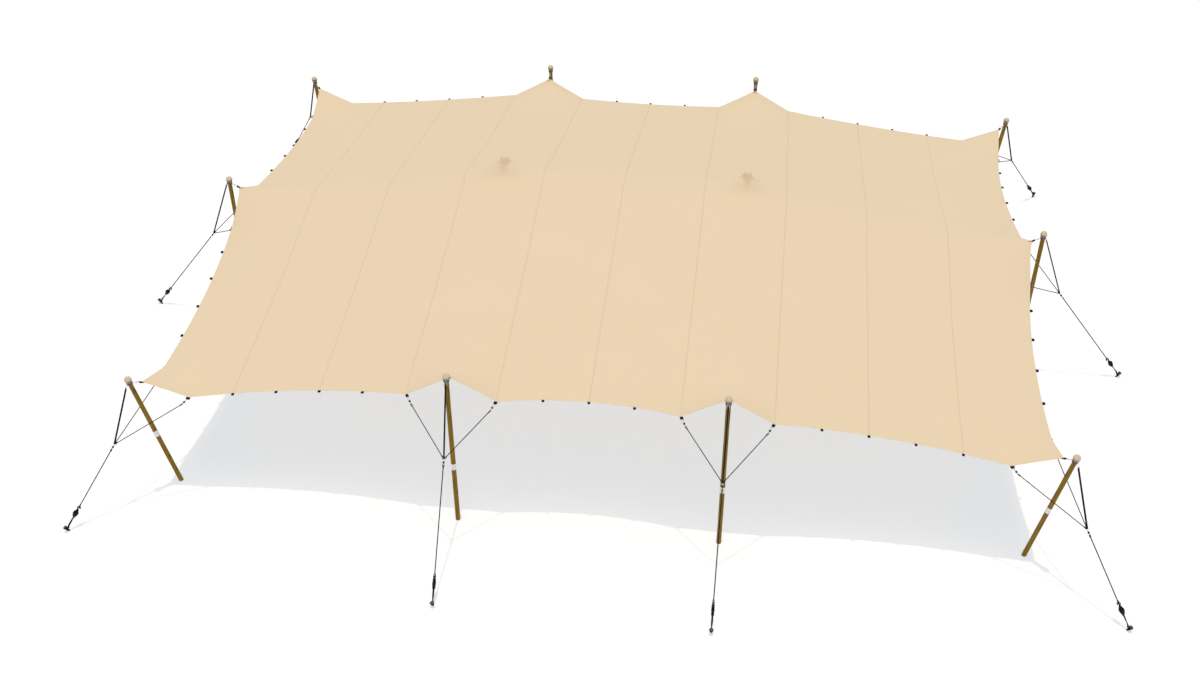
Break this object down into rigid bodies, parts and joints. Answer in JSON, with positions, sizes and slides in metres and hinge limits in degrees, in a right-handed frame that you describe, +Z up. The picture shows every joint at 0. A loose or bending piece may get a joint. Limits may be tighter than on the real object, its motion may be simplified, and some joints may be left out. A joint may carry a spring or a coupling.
{
  "type": "stretch tent",
  "caption": "Open-sided stretch fabric tent: one taut sheet peaked over king poles, held out by edge poles, guy ropes, ratchets and ground stakes.",
  "frame": {"origin": "on the ground under the middle of the cover, midway between the king poles", "axes": "+X along the long side to the right, +Y towards the back, +Z up"},
  "size_m": [19.4802, 15.0002, 4.066],
  "materials": {
    "cover_fabric": "matt stretch knit",
    "pole_timber": "stained and varnished",
    "sleeve_alloy": "satin",
    "head_plastic": "satin",
    "tie_webbing": "woven webbing and rope",
    "stake_steel": "black oxide"
  },
  "bodies": {
    "root": {"canopy": "cover_fabric", "pole_front_left": "pole_timber", "sleeve_front_left": "sleeve_alloy", "head_front_left": "head_plastic", "guy_front_left": "tie_webbing", "stake_front_left": "stake_steel", "pole_front_mid_left": "pole_timber", "sleeve_front_mid_left": "sleeve_alloy", "head_front_mid_left": "head_plastic", "guy_front_mid_left": "tie_webbing", "stake_front_mid_left": "stake_steel", "pole_front_mid_right": "pole_timber", "sleeve_front_mid_right": "sleeve_alloy", "head_front_mid_right": "head_plastic", "guy_front_mid_right": "tie_webbing", "stake_front_mid_right": "stake_steel", "pole_front_right": "pole_timber", "sleeve_front_right": "sleeve_alloy", "head_front_right": "head_plastic", "guy_front_right": "tie_webbing", "stake_front_right": "stake_steel", "pole_right_mid": "pole_timber", "sleeve_right_mid": "sleeve_alloy", "head_right_mid": "head_plastic", "guy_right_mid": "tie_webbing", "stake_right_mid": "stake_steel", "pole_back_right": "pole_timber", "sleeve_back_right": "sleeve_alloy", "head_back_right": "head_plastic", "guy_back_right": "tie_webbing", "stake_back_right": "stake_steel", "pole_back_mid_right": "pole_timber", "sleeve_back_mid_right": "sleeve_alloy", "head_back_mid_right": "head_plastic", "guy_back_mid_right": "tie_webbing", "stake_back_mid_right": "stake_steel", "pole_back_mid_left": "pole_timber", "sleeve_back_mid_left": "sleeve_alloy", "head_back_mid_left": "head_plastic", "guy_back_mid_left": "tie_webbing", "stake_back_mid_left": "stake_steel", "pole_back_left": "pole_timber", "sleeve_back_left": "sleeve_alloy", "head_back_left": "head_plastic", "guy_back_left": "tie_webbing", "stake_back_left": "stake_steel", "pole_left_mid": "pole_timber", "sleeve_left_mid": "sleeve_alloy", "head_left_mid": "head_plastic", "guy_left_mid": "tie_webbing", "stake_left_mid": "stake_steel", "king_pole_left": "pole_timber", "king_sleeve_left": "sleeve_alloy", "king_head_left": "head_plastic", "king_pole_right": "pole_timber", "king_sleeve_right": "sleeve_alloy", "king_head_right": "head_plastic"}
  },
  "joints": []
}
